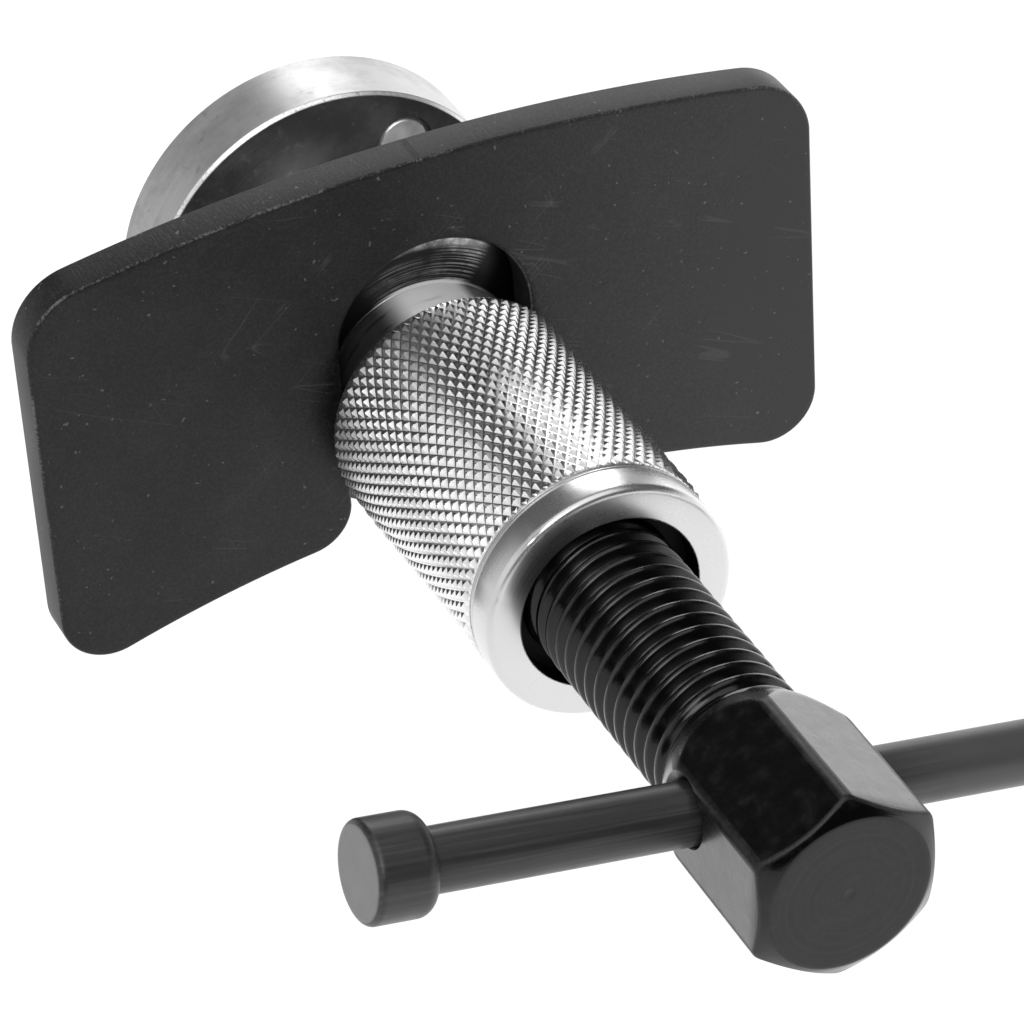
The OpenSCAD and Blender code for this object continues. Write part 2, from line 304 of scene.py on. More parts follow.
class Graph:
    """Node graph of a material or a world."""

    def __init__(self, owner: bpy.types.ID) -> None:
        """Starts an empty graph.

        Args:
            owner: Material or world that holds the graph.
        """
        owner.use_nodes = True
        self.owner = owner
        self.tree = owner.node_tree
        self.tree.nodes.clear()

    def node(self, kind: str, settings: dict[str, Any], sockets: dict[Any, Any]) -> list[Signal]:
        """Adds any node.

        Args:
            kind: The node's type.
            settings: Its properties.
            sockets: Values or signals for its inputs, by name or number.

        Returns:
            The node's outputs.
        """
        made = self.tree.nodes.new(kind)
        for key, value in settings.items():
            setattr(made, key, value)
        for key, value in sockets.items():
            if isinstance(value, Signal):
                self.tree.links.new(value.socket, made.inputs[key])
            else:
                made.inputs[key].default_value = value
        return [Signal(self, socket) for socket in made.outputs]


class Coat(Graph):
    """Node graph of one surface, with the places that its patterns are drawn on."""

    def __init__(self, name: str) -> None:
        """Starts a material, with object places in millimetres.

        Args:
            name: Name of the material.
        """
        super().__init__(bpy.data.materials.new(name))
        self.place = self.node("ShaderNodeTexCoord", {}, {})[3]
        axes = self.node("ShaderNodeSeparateXYZ", {}, {0: self.place})
        self.x, self.y, self.z = (axis * (1 / MM) for axis in axes)
        self.radius = (self.x * self.x + self.z * self.z).math("SQRT")
        self.turn = self.z.math("ARCTAN2", self.x)
        self.east, self.north = self.x / self.radius, self.z / self.radius

    def mark(self, mark: Mark) -> Signal:
        """Value of a per-vertex attribute."""
        return self.node("ShaderNodeAttribute", {"attribute_name": mark.value}, {})[2]

    def vector(self, x: Any, y: Any, z: Any) -> Signal:
        """Vector of three values."""
        return self.node("ShaderNodeCombineXYZ", {}, {0: x, 1: y, 2: z})[0]

    def round(self, across: Signal, share: float, start: float = 0.0) -> Signal:
        """Place for a pattern that runs round the tool's axis without a seam.

        Args:
            across: Place across the pattern, in its cells.
            share: How much the pattern changes on its way round.
            start: Shift that keeps patterns apart.

        Returns:
            Vector of the place across, and the direction from the axis times the share.
        """
        return self.vector(across + start, self.east * share, self.north * share)

    def noise(self, where: Signal, scale: float, detail: float = 3.0, rough: float = 0.55) -> Signal:
        """Cloudy noise, about 0.5 on average, with scale in cells for each unit of its vector."""
        sockets = {"Vector": where, "Scale": scale, "Detail": detail, "Roughness": rough}
        return self.node("ShaderNodeTexNoise", {}, sockets)[0]

    def streaks(self, turn: tuple[float, float, float], pitch: tuple[float, float, float]) -> Signal:
        """Noise drawn out along one direction.

        Args:
            turn: Rotation of the pattern, in degrees about each axis.
            pitch: Cells for each millimetre along the turned axes.

        Returns:
            Noise of about 0.5 on average.
        """
        sockets = {
            "Vector": self.place,
            "Rotation": tuple(math.radians(angle) for angle in turn),
            "Scale": tuple(MM / value for value in pitch),
        }
        placed = self.node("ShaderNodeMapping", {"vector_type": "TEXTURE"}, sockets)[0]
        return self.noise(placed, 1.0, 2.0, 0.5)

    def mix(self, share: Any, low: Any, high: Any) -> Signal:
        """Colour between two colours.

        Args:
            share: How much there is of the second colour, from 0 to 1.
            low: First colour.
            high: Second colour.

        Returns:
            The mixed colour.
        """
        colours = [(*c, 1.0) if isinstance(c, tuple) else c for c in (low, high)]
        settings = {"data_type": "RGBA", "clamp_factor": True}
        return self.node("ShaderNodeMix", settings, {0: share, 6: colours[0], 7: colours[1]})[2]

    def bump(self, height: Signal, depth: float) -> Signal:
        """Normal from a height that runs from 0 to 1 over a depth in millimetres."""
        sockets = {"Height": height, "Distance": depth * MM, "Strength": 1.0}
        return self.node("ShaderNodeBump", {}, sockets)[0]

    def surface(self, shader: Signal) -> bpy.types.Material:
        """Ends the graph in a shader."""
        self.node("ShaderNodeOutputMaterial", {}, {"Surface": shader})
        return self.owner

    def principled(self, **sockets: Any) -> bpy.types.Material:
        """Ends the graph in a Principled shader.

        Args:
            **sockets: Inputs of the shader, with underscores for spaces.

        Returns:
            The finished material.
        """
        named = {key.replace("_", " "): value for key, value in sockets.items()}
        return self.surface(self.node("ShaderNodeBsdfPrincipled", {}, named)[0])


@dataclass(frozen=True)
class PlatedNut:
    """Bright plated steel of the nut, with an oily bore, an end face darker at its upper left, and a thrust
    face with rub marks and a painted highlight at its top. Its neck has a painted highlight between painted
    shade and a painted highlight line at its fillet, and its grip painted shade across its middle.
    """

    name: str = "plated_nut"
    bright: Colour = (0.95, 0.95, 0.95)
    polished: Colour = (0.58, 0.58, 0.58)
    dirt_and_painted_shade: Colour = (0.16, 0.16, 0.16)
    rubbed: Colour = (0.70, 0.70, 0.70)
    stain_and_painted_shade: Colour = (0.05, 0.05, 0.05)
    oily: Colour = (0.006, 0.006, 0.006)
    roughness: float = 0.23
    thrust_face_y: float = -37.0
    neck_r: float = 12.5
    grip_front_y: float = -45.9
    collar_y: float = -85.1
    bore_r: float = 11.42

    def material(self) -> bpy.types.Material:
        """Builds the material.

        Returns:
            The finished material.
        """
        g = Coat(self.name)
        groove = g.mark(Mark.GROOVE)
        cloud = g.noise(g.place, 260.0, 4.0)
        speck = g.noise(g.place, 2300.0, 2.0)
        rings = g.noise(g.round(g.radius * 5.0, 0.9), 1.0, 3.0, 0.6)
        lines = g.noise(g.round(g.y * 7.0, 0.5, 3.0), 1.0, 2.0, 0.6)
        flat = abs(g.y - self.thrust_face_y).step(0.35, 0.1)
        front = g.y.step(self.grip_front_y - 0.2, self.grip_front_y + 0.2)
        behind = g.y.step(self.collar_y + 0.4, self.collar_y - 0.1)
        bore = g.radius.step(self.bore_r + 0.04, self.bore_r - 0.06) * behind
        # Painted highlight: the thrust face is painted lighter at its top and right, where rub marks carry a
        # painted highlight; the rest of the face is painted dark, partly stain and partly painted shade.
        crown = g.turn.step(0.95, 1.1) * g.turn.step(2.1, 1.7)
        right = g.turn.step(0.95, 1.05) * g.turn.step(1.45, 1.2)
        streaks = rings.step(0.47, 0.62)
        inner = g.radius.step(16.9, 16.1) * streaks * 0.35
        outer = g.radius.step(17.4, 18.1) * cloud.step(0.3, 0.5)
        blots = g.noise(g.place, 520.0, 4.0, 0.65).step(0.4, 0.58)
        rub = (crown * (outer * 0.85 + inner) + right * streaks * 0.7) * (0.4 + blots * 0.6)
        worn = g.mix(rub, self.stain_and_painted_shade, self.rubbed)
        # Painted highlight and painted shade on the neck: its middle is painted near white as a painted
        # highlight, and it is painted dark to its left and right as painted shade.
        shade = g.x.step(-1.6, -6.3) + g.x.step(5.1, 7.3) * 0.7
        waist = front * g.y.step(self.thrust_face_y + 0.15, self.thrust_face_y - 0.15)
        smear = g.noise(g.round(g.y * 1.1, 1.4, 9.0), 1.0, 4.0, 0.65)
        shade_and_smear = shade * 0.93 + smear.step(0.55, 0.75) * 0.25 + lines.step(0.5, 0.7) * 0.06
        neck = g.mix(shade_and_smear, self.bright, self.stain_and_painted_shade)
        # Painted shade across the middle of the grip, on its top and upper left; the dark in the knurl's
        # grooves and the specks is dirt.
        painted_mid_shade = g.turn.step(1.5, 1.75) * g.turn.step(2.75, 2.3) * (0.1 + cloud.step(0.35, 0.65) * 0.14)
        grip = g.mix(groove * 0.2 + speck.step(0.62, 0.75) * 0.1 + painted_mid_shade, self.bright, self.dirt_and_painted_shade)
        # The end face is darker towards its upper left, inside radius 15 mm, near the counterbore.
        upper_left = g.turn.step(1.7, 2.0) * g.turn.step(2.95, 2.55)
        upper_left_dark = upper_left * g.radius.step(15.0, 12.9) * (0.3 + rings * 0.7)
        collar = g.mix(behind * upper_left_dark, self.polished, self.stain_and_painted_shade)
        body = g.mix(waist, g.mix(behind + front, grip, collar), neck)
        # Painted highlight: a bright line painted round the fillet where the neck meets the flange.
        fillet_highlight = g.radius.step(self.neck_r + 0.6, self.neck_r + 0.4) * flat * (1.0 - shade)
        base = g.mix(fillet_highlight, g.mix(bore, g.mix(flat, body, worn), self.oily), self.bright)
        # The neck's painted highlight and the fillet's painted highlight line are made less metallic here,
        # so that their painted colour shows.
        soft = (waist * (1.0 - flat) + fillet_highlight) * (1.0 - shade * 0.75)
        metal = 1.0 - behind * (1.0 - bore) * 0.12 - soft
        polish = self.roughness + behind * 0.05 + front * 0.1 + bore * 0.15
        rough = polish + groove * 0.06 + (cloud - 0.5) * 0.08
        turned_marks = lines * (1.0 + front * 2.0) * (1.0 - flat) + rings * flat * 1.5
        bump = g.bump(turned_marks * (front + behind) + speck * 0.12, 0.012)
        return g.principled(Base_Color=base, Metallic=metal, Roughness=rough, Normal=bump)


@dataclass(frozen=True)
class BlackPlate:
    """Matte black oxide of the blanked plate, with fine scratches, dust, a worn front edge and painted light
    towards its right side.
    """

    name: str = "black_plate"
    dark: Colour = (0.003, 0.003, 0.003)
    grey: Colour = (0.034, 0.034, 0.034)
    bare: Colour = (0.26, 0.26, 0.26)
    roughness: float = 0.48
    half_w: float = 51.6

    def material(self) -> bpy.types.Material:
        """Builds the material.

        Returns:
            The finished material.
        """
        g = Coat(self.name)
        cloud = g.noise(g.place, 55.0, 5.0, 0.6)
        grain = g.noise(g.place, 3200.0, 2.0)
        patches = g.noise(g.place, 130.0, 3.0)
        scratches = sum(
            abs(g.streaks((0.0, angle, 0.0), (0.012, 0.3, 0.16)) - 0.5).step(0.004, 0.001)
            * patches.step(low, low + 0.1)
            for angle, low in ((24.0, 0.5), (-38.0, 0.56), (70.0, 0.58))
        )
        dust = g.noise(g.place, 1150.0, 1.0).step(0.745, 0.79)
        rim, worn = g.mark(Mark.RIM), g.mark(Mark.WORN)
        shear = g.noise(g.vector(g.mark(Mark.ALONG) * 4.0, g.y * 0.5, 0.0), 1.0, 3.0, 0.6)
        chips = worn * (grain * 0.6 + patches * 0.6).step(0.55, 0.75)
        marks = scratches * 0.09 + dust * 0.35 + chips * 0.4 + rim * shear.step(0.5, 0.75) * 0.08
        mottle = cloud.step(0.3, 0.75) * 0.26 + patches.step(0.4, 0.65) * 0.1
        # Painted light: the plate is painted lighter towards its right side, on top of its real mottle and
        # grain.
        tone = mottle + grain.step(0.38, 0.7) * 0.33 + g.x.step(0.0, self.half_w) * 0.8
        base = g.mix(marks, g.mix(tone, self.dark, self.grey), self.bare)
        rough = self.roughness + (cloud - 0.5) * 0.2 - chips * 0.15
        bump = g.bump(grain * 1.1 + patches * 0.5 + rim * shear * 1.4 - scratches * 0.4, 0.02)
        return g.principled(Base_Color=base, Roughness=rough, Normal=bump, IOR=1.33)


@dataclass(frozen=True)
class OiledBlack:
    """Oiled black oxide of the screw, with glossy flats, a polished chamfer and dull edges on its head."""

    name: str = "oiled_black"
    dark: Colour = (0.002, 0.002, 0.002)
    rubbed: Colour = (0.03, 0.03, 0.03)
    roughness: float = 0.28
    end_y: float = -148.7
    head_y: float = -123.5

    def material(self) -> bpy.types.Material:
        """Builds the material.

        Returns:
            The finished material.
        """
        g = Coat(self.name)
        cloud = g.noise(g.place, 170.0, 4.0)
        grain = g.noise(g.place, 2600.0, 2.0)
        smears = g.noise(g.place, 420.0, 3.0, 0.6)
        crest = g.mark(Mark.CREST)
        rings = g.noise(g.vector(g.radius * 1.6, 1.0, 0.0), 1.0, 2.0, 0.5)
        end = g.y.step(self.end_y + 0.15, self.end_y + 0.02)
        head = g.y.step(self.head_y + 0.2, self.head_y - 0.2)
        dimple = g.radius.step(0.9, 0.15) * end
        rub = crest * (cloud * 0.7 + grain * 0.4).step(0.45, 0.7)
        tone = smears.step(0.5, 0.8) * (head * 0.25 + end * 0.3) + end * rings.step(0.4, 0.7) * 0.2
        base = g.mix(rub * 0.6 + tone, self.dark, self.rubbed)
        chamfer = g.y.step(self.end_y + 1.3, self.end_y + 0.7) * (1.0 - end) * (1.0 - crest)
        polish = end * 0.18 - (1.0 - head) * 0.1 - chamfer * 0.14 + crest * head * 0.15
        rough = self.roughness + (smears - 0.5) * (1.0 - chamfer) * 0.3 + polish
        flats = g.y.step(self.end_y + 1.2, self.end_y + 3.0) * head * (1.0 - crest)
        waves = (cloud * (0.6 + head * 2.5) + smears * (1.0 - end) * 0.8) * (1.0 - chamfer * 0.8)
        bump = g.bump(grain * 0.35 + waves + end * rings * 0.8 - dimple * 3.0, 0.02)
        return g.principled(Base_Color=base, Roughness=rough, Normal=bump, IOR=1.41,
                            Coat_Weight=flats * 0.4, Coat_Roughness=0.25)


@dataclass(frozen=True)
class SatinBar:
    """Satin black oxide of the tommy bar and its knobs, with drawing streaks, rubbed end faces and painted
    light towards the right end.
    """

    name: str = "satin_bar"
    dark: Colour = (0.018, 0.018, 0.018)
    pale: Colour = (0.06, 0.06, 0.06)
    rubbed: Colour = (0.18, 0.18, 0.18)
    roughness: float = 0.42
    tilt: float = 10.8
    left_end: float = -49.7
    right_end: float = 60.3

    def material(self) -> bpy.types.Material:
        """Builds the material.

        Returns:
            The finished material.
        """
        g = Coat(self.name)
        lean = math.radians(self.tilt)
        along = g.x * math.cos(lean) - g.z * math.sin(lean)
        ends = along.step(self.left_end + 0.12, self.left_end + 0.02) + along.step(
            self.right_end - 0.12, self.right_end - 0.02)
        streak = g.streaks((0.0, self.tilt, 0.0), (0.05, 2.2, 2.2))
        cloud = g.noise(g.place, 240.0, 4.0)
        grain = g.noise(g.place, 3000.0, 2.0)
        # Painted light: the bar is painted lighter towards its right end.
        painted_light_right = along.step(0.0, self.right_end * 0.6)
        tone = streak.step(0.45, 0.75) * 0.6 + grain.step(0.6, 0.8) * 0.25 + painted_light_right * 1.4
        black = g.mix(tone, self.dark, self.pale)
        base = g.mix(ends * (0.35 + cloud), black, self.rubbed)
        rough = self.roughness + (cloud - 0.5) * 0.2
        bump = g.bump(grain * 0.6 + streak * (1.0 - ends) * 0.4, 0.015)
        return g.principled(Base_Color=base, Metallic=ends * 0.3, Roughness=rough, Normal=bump, IOR=1.5)


@dataclass(frozen=True)
class DullZinc:
    """Dull zinc plate of the adaptor disc, pale on its rim with painted shade at the rim's left, dark on its
    turned faces, with a bright edge.
    """

    name: str = "dull_zinc"
    pale: Colour = (0.50, 0.50, 0.50)
    stain_and_painted_shade: Colour = (0.28, 0.28, 0.28)
    face: Colour = (0.075, 0.075, 0.075)
    bright: Colour = (0.90, 0.90, 0.90)
    roughness: float = 0.37
    rim_r: float = 25.0

    def material(self) -> bpy.types.Material:
        """Builds the material.

        Returns:
            The finished material.
        """
        g = Coat(self.name)
        cloud = g.noise(g.place, 120.0, 5.0, 0.65)
        grain = g.noise(g.place, 2600.0, 3.0)
        rings = g.noise(g.round(g.radius * 2.4, 0.4), 1.0, 3.0, 0.6)
        bands = g.noise(g.round(g.y * 3.5, 0.7, 5.0), 1.0, 3.0, 0.6)
        side = g.radius.step(self.rim_r - 0.5, self.rim_r - 0.3)
        edge = side * g.radius.step(self.rim_r - 0.04, self.rim_r - 0.14) * grain.step(0.3, 0.5)
        spots = g.noise(g.place, 700.0, 2.0).step(0.62, 0.74)
        # Painted shade: the rim is darker towards its left side, mixed in with its real stains.
        left = g.x.step(-15.0, -23.0) * 0.6
        stain_and_shade = cloud.step(0.4, 0.7) * 0.6 + spots * 0.35 + (bands - 0.5) * 0.5 + left
        turned_face = g.mix(cloud.step(0.4, 0.7) * 0.3 + spots * 0.2, self.face, self.stain_and_painted_shade)
        base = g.mix(edge, g.mix(side, turned_face, g.mix(stain_and_shade, self.pale, self.stain_and_painted_shade)), self.bright)
        rough = self.roughness + (cloud - 0.5) * 0.2 - edge * 0.1
        bump = g.bump(grain * 0.5 + rings * (1.0 - side) * 1.2 + bands * side * 0.8, 0.02)
        return g.principled(Base_Color=base, Metallic=0.75 - side * 0.2, Roughness=rough, Normal=bump)


@dataclass(frozen=True)
class TurnedSteel:
    """Bare turned steel of the small drive pieces, duller towards the front, where they meet the piston."""

    name: str = "turned_steel"
    pale: Colour = (0.92, 0.92, 0.92)
    dull: Colour = (0.40, 0.40, 0.40)
    roughness: float = 0.38
    ring_pitch: float = 4.0
    front_y: float = -1.0

    def material(self) -> bpy.types.Material:
        """Builds the material.

        Returns:
            The finished material.
        """
        g = Coat(self.name)
        cloud = g.noise(g.place, 300.0, 4.0)
        grain = g.noise(g.place, 2600.0, 2.0)
        rings = g.noise(g.round((g.radius + g.y) * self.ring_pitch, 0.5), 1.0, 3.0, 0.6)
        used = g.y.step(self.front_y - 6.0, self.front_y) * 0.7
        base = g.mix(cloud.step(0.35, 0.75) * 0.6 + grain.step(0.6, 0.8) * 0.2 + used, self.pale, self.dull)
        rough = self.roughness + (rings - 0.5) * 0.2
        bump = g.bump(rings + grain * 0.3, 0.012)
        return g.principled(Base_Color=base, Metallic=1.0, Roughness=rough, Normal=bump)


@dataclass
class ThrustNut:
    """Knurled nut with its collar, neck and thrust flange."""

    bore_r: float = 9.6
    flange_t: float = 5.0
    neck_r: float = 12.5
    neck_l: float = 8.9
    grip_r: float = 16.0
    grip_l: float = 39.2
    grip_edge: float = 0.5
    collar_r: float = 15.6
    counterbore_r: float = 11.35
    counterbore_l: float = 3.5
    knurl_starts: int = 65
    knurl_periods: int = 30
    knurl_depth: float = 0.42
    valley: float = 0.05
    top: float = 0.07
    bruise: float = 0.05
    dent_zone: float = 2.0
    dents: tuple[tuple[float, float, float, float], ...] = (
        (157.0, 0.25, 0.12, 0.5), (126.0, 0.2, 0.1, 0.6), (300.0, 0.25, 0.12, 0.5))

    def knurl(self) -> tuple[Array, Array, Array]:
        """Diamond knurl as the crossing of two families of helical grooves.

        A point has phases a and b across the two families, with angle = pi (a + b) / starts and a place
        along the axis in proportion to b - a. Each phase is sampled at both edges of its groove and of its
        land, so every crease is a mesh edge. Height is the lower of the two families' heights, which makes
        four-sided pyramids with a small flat top. The broken part of a large sine, which looks like chance
        and is the same each run, bruises each top a little.

        Returns:
            Points as rows of rings, how deep each lies from 0 to 1, and the triangles between them.
        """
        phase = np.array([self.valley, 0.5 - self.top, 0.5 + self.top, 1.0 - self.valley])
        lift = np.array([0.0, 1.0, 1.0, 0.0])
        columns, rows = 4 * self.knurl_starts, 4 * self.knurl_periods
        i, m = np.meshgrid(np.arange(columns), np.arange(rows + 1))
        j = i + m
        a, b = i // 4 + phase[i % 4], j // 4 + phase[j % 4]
        scatter = np.sin((i // 4) * 12.9898 + (j // 4) * 78.233) * 43758.5453
        worn = 1.0 - self.bruise * (scatter - np.floor(scatter)) ** 2
        height = np.minimum(lift[i % 4], lift[j % 4]) * worn
        angle = math.pi * (a + b) / self.knurl_starts
        along = (b - a) / self.knurl_periods * self.grip_l
        ease = np.minimum(along, self.grip_l - along)
        radius = np.minimum(self.grip_r - self.knurl_depth * (1.0 - height),
                            self.grip_r - np.maximum(self.grip_edge - ease, 0.0))
        points = np.stack([radius * np.cos(angle), -along, radius * np.sin(angle)], axis=-1)
        number = i + m * columns
        east = np.roll(number, -1, axis=1)
        cells = np.stack([number[1:-1], east[:-2], east[1:-1], number[2:]], axis=-1).reshape(-1, 4)
        tall = height.ravel()[cells]
        ridge = np.abs(tall[:, 0] - tall[:, 2]) >= np.abs(tall[:, 1] - tall[:, 3])
        facets = [
            split(cells[ridge]),
            split(np.roll(cells[~ridge], -1, axis=1)),
            np.stack([number[0], east[0], number[1]], axis=-1),
            np.stack([number[-1], east[-2], east[-1]], axis=-1),
        ]
        return points, 1.0 - height, np.concatenate(facets)

    def front_profile(self, rear: float) -> Array:
        """Profile from the bore's mouth over the flange and the neck to the grip's front face.

        Args:
            rear: Place of the flange's outer face along the axis.

        Returns:
            Rows by one column by (radius, along).
        """
        flange_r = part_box("thrust_nut")[1].x / MM
        face = rear - self.flange_t
        grip = face - self.neck_l
        return lathe_profile([
            (self.bore_r, rear, 0.0), (flange_r, rear, 0.6), (flange_r, face, 0.5), (self.neck_r, face, 0.4),
            (self.neck_r, grip, 0.25), (self.grip_r - self.grip_edge - 0.15, grip, 0.0)])

    def rear_profile(self, end: float) -> Array:
        """Profile from the grip's rear face over two fine grooves, the collar and the counterbore.

        Args:
            end: Place of the collar's end face along the axis.

        Returns:
            Rows by one column by (radius, along).
        """
        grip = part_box("thrust_nut")[1].y / MM - self.flange_t - self.neck_l - self.grip_l
        collar, floor = self.collar_r, end + self.counterbore_l
        return lathe_profile([
            (self.grip_r - self.grip_edge - 0.1, grip, 0.0),
            (collar - 0.28, grip - 0.05, 0.03), (collar - 0.28, grip - 0.4, 0.04),
            (collar - 0.02, grip - 0.5, 0.06), (collar - 0.02, grip - 0.68, 0.05),
            (collar - 0.16, grip - 0.74, 0.03), (collar - 0.16, grip - 0.86, 0.03),
            (collar, grip - 0.95, 0.06), (collar, end, 0.95), (self.counterbore_r, end, 0.3),
            (self.counterbore_r, floor, 0.1), (self.bore_r, floor, 0.0)])

    def dented(self, points: Array, end: float) -> Array:
        """Points with small dents knocked into the collar's edge.

        Each dent is a bell-shaped dip: its depth falls off with the squared distance from its centre, which
        is an angle in degrees and a place in from the end face. Depth and reach are in millimetres.

        Args:
            points: Points near the end, one row each.
            end: Place of the end face along the axis.

        Returns:
            The points, moved inwards and along the axis where a dent is.
        """
        angle, inset, depth, reach = np.array(self.dents).T
        edge = np.stack([self.collar_r * np.cos(np.radians(angle)), end + inset,
                         self.collar_r * np.sin(np.radians(angle))], axis=-1)
        gap = np.linalg.norm(points[:, None] - edge[None], axis=-1) / reach
        dip = (depth * np.exp(-gap**2)).sum(axis=1)[:, None]
        inward = unit(np.stack([-points[:, 0], np.zeros(len(points)), -points[:, 2]], axis=-1))
        return points + dip * (0.8 * inward + 0.6 * np.array([0.0, 1.0, 0.0]))

    def build(self) -> bpy.types.Object:
        """Joins the flange, neck, knurl and collar into one closed surface, and dresses it.

        Returns:
            The finished piece.
        """
        low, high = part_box("thrust_nut")
        end, rear = low.y / MM, high.y / MM
        knurl, depth, facets = self.knurl()
        knurl[..., 1] += rear - self.flange_t - self.neck_l
        front_angle = np.arctan2(knurl[0, :, 2], knurl[0, :, 0])
        rear_angle = np.arctan2(knurl[-1, :, 2], knurl[-1, :, 0])
        front = turned(self.front_profile(rear), front_angle)
        back = turned(self.rear_profile(end), rear_angle)
        columns = knurl.shape[1]
        rings = [front.reshape(-1, 3), knurl.reshape(-1, 3), back.reshape(-1, 3)]
        starts = np.cumsum([0] + [len(part) for part in rings])
        number = np.arange(starts[-1]).reshape(-1, columns)
        first, last = starts[1] // columns, starts[2] // columns
        lag = columns * self.knurl_periods // (2 * self.knurl_starts)
        quads = np.concatenate([
            ring_quads(number[:first], number[1:first + 1]),
            ring_quads(number[last - 1:-1], number[last:]),
            ring_quads(number[-1:], np.roll(number[:1], -lag, 1)),
        ])
        groove = np.concatenate([np.zeros(len(rings[0])), depth.ravel(), np.zeros(len(rings[2]))])
        points = np.concatenate(rings)
        near = points[:, 1] < end + self.dent_zone
        points[near] = self.dented(points[near], end)
        piece = build_piece("knurled_nut", points, np.concatenate([split(quads), facets + starts[1]]),
                            {Mark.GROOVE: groove})
        piece.data.materials.append(PlatedNut().material())
        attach(piece, Body.NUT.value)
        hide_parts("thrust_nut")
        return piece


@dataclass
class ReactionPlate:
    """Blanked plate with a U slot, bulging top edge and hollow bottom edge."""

    rise: float = 24.8
    drop: float = 26.1
    top_r: float = 253.0
    bottom_r: float = 156.0
    top_corner: float = 8.75
    bottom_corner: float = 6.5
    mouth_round: float = 6.0
    slot_r: float = 12.8
    front_roll: float = 0.45
    rear_edge: float = 0.25
    face_inset: float = 0.6

    @staticmethod
    def arc(centre: Array, radius: float, start: float, end: float, chords: int) -> Array:
        """Points round a centre from one angle to another, the last left off."""
        angle = np.linspace(start, end, chords, endpoint=False)
        return centre + radius * np.stack([np.cos(angle), np.sin(angle)], axis=-1)

    def right_half(self, half_w: float) -> Array:
        """Right half of the outline about the slot's centre, from the top's middle to the slot's top.

        Corner arcs have their centres where both neighbouring edges lie one corner radius away.

        Args:
            half_w: Half the plate's width.

        Returns:
            Points of the outline, by (across, up).
        """
        top = np.array([0.0, self.rise - self.top_r])
        bottom = np.array([0.0, -self.drop - self.bottom_r])
        upper, lower, mouth = (
            np.array([x, centre[1] + math.sqrt(radius**2 - x**2)])
            for centre, radius, x in (
                (top, self.top_r - self.top_corner, half_w - self.top_corner),
                (bottom, self.bottom_r + self.bottom_corner, half_w - self.bottom_corner),
                (bottom, self.bottom_r + self.mouth_round, self.slot_r + self.mouth_round),
            )
        )
        lean = [math.atan2(*(p - q)[::-1]) for p, q in ((upper, top), (lower, bottom), (mouth, bottom))]
        quarter = math.pi / 2
        return np.concatenate([
            self.arc(top, self.top_r, quarter, lean[0], 48),
            self.arc(upper, self.top_corner, lean[0], 0.0, 20),
            self.arc(lower, self.bottom_corner, 0.0, lean[1] - math.pi, 20),
            self.arc(bottom, self.bottom_r, lean[1], lean[2], 24),
            self.arc(mouth, self.mouth_round, lean[2] - math.pi, -math.pi, 20),
            self.arc(np.zeros(2), self.slot_r, 0.0, quarter, 36),
            np.array([[0.0, self.slot_r]]),
        ])

    def build(self) -> bpy.types.Object:
        """Carries the edge's cross-section round the outline, closes both faces, and dresses the plate.

        Returns:
            The finished piece.
        """
        low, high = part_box("reaction_plate")
        front, rear = low.y / MM, high.y / MM
        centre_z = high.z / MM - self.rise
        half = self.right_half(high.x / MM)
        line = np.concatenate([half, (half * [-1.0, 1.0])[-2:0:-1]])
        heading = unit(np.roll(line, -1, axis=0) - np.roll(line, 1, axis=0))
        outward = np.stack([-heading[:, 1], heading[:, 0]], axis=-1)
        s = np.linspace(0.0, math.pi / 2, 5)
        dip, rise = 1 - np.sin(s), 1 - np.cos(s)
        section = np.concatenate([
            [(self.front_roll + self.face_inset, front)],
            np.stack([self.front_roll * dip, front + self.front_roll * rise], axis=-1),
            np.stack([self.rear_edge * rise, rear - self.rear_edge * dip], axis=-1),
            [(self.rear_edge + self.face_inset, rear)]])
        rows = line[None] - section[:, :1, None] * outward[None]
        depth = np.broadcast_to(section[:, 1:], rows.shape[:2])
        points = np.stack([rows[..., 0], depth, rows[..., 1] + centre_z], axis=-1)
        number = np.arange(points.shape[0] * points.shape[1]).reshape(points.shape[:2])
        face = np.array(tessellate_polygon([[Vector((x, z, 0.0)) for x, z in rows[0]]]))
        back = np.array(tessellate_polygon([[Vector((x, z, 0.0)) for x, z in rows[-1]]]))
        a, b, c = rows[0][face[0]]
        turn = slice(None, None, -1) if np.cross(b - a, c - a) > 0 else slice(None)
        sides = split(ring_quads(number[:-1], number[1:]))
        triangles = np.concatenate([sides, number[0][face[:, turn]], number[-1][back[:, turn][:, ::-1]]])
        # Of the section's rows, 1 to 5 run round the front roll and 6 to 10 round the rear edge.
        rim = np.zeros(points.shape[:2])
        rim[4:-2] = 1.0
        worn = np.zeros(points.shape[:2])
        worn[3:5] = 1.0
        travel = np.concatenate([[0.0], np.cumsum(np.linalg.norm(np.diff(line, axis=0), axis=1))])
        along = np.broadcast_to(travel, points.shape[:2])
        marks = {Mark.RIM: rim.ravel(), Mark.WORN: worn.ravel(), Mark.ALONG: along.ravel()}
        piece = build_piece("slotted_plate", points.reshape(-1, 3), triangles, marks)
        piece.data.materials.append(BlackPlate().material())
        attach(piece, Body.PLATE.value)
        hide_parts("reaction_plate")
        return piece


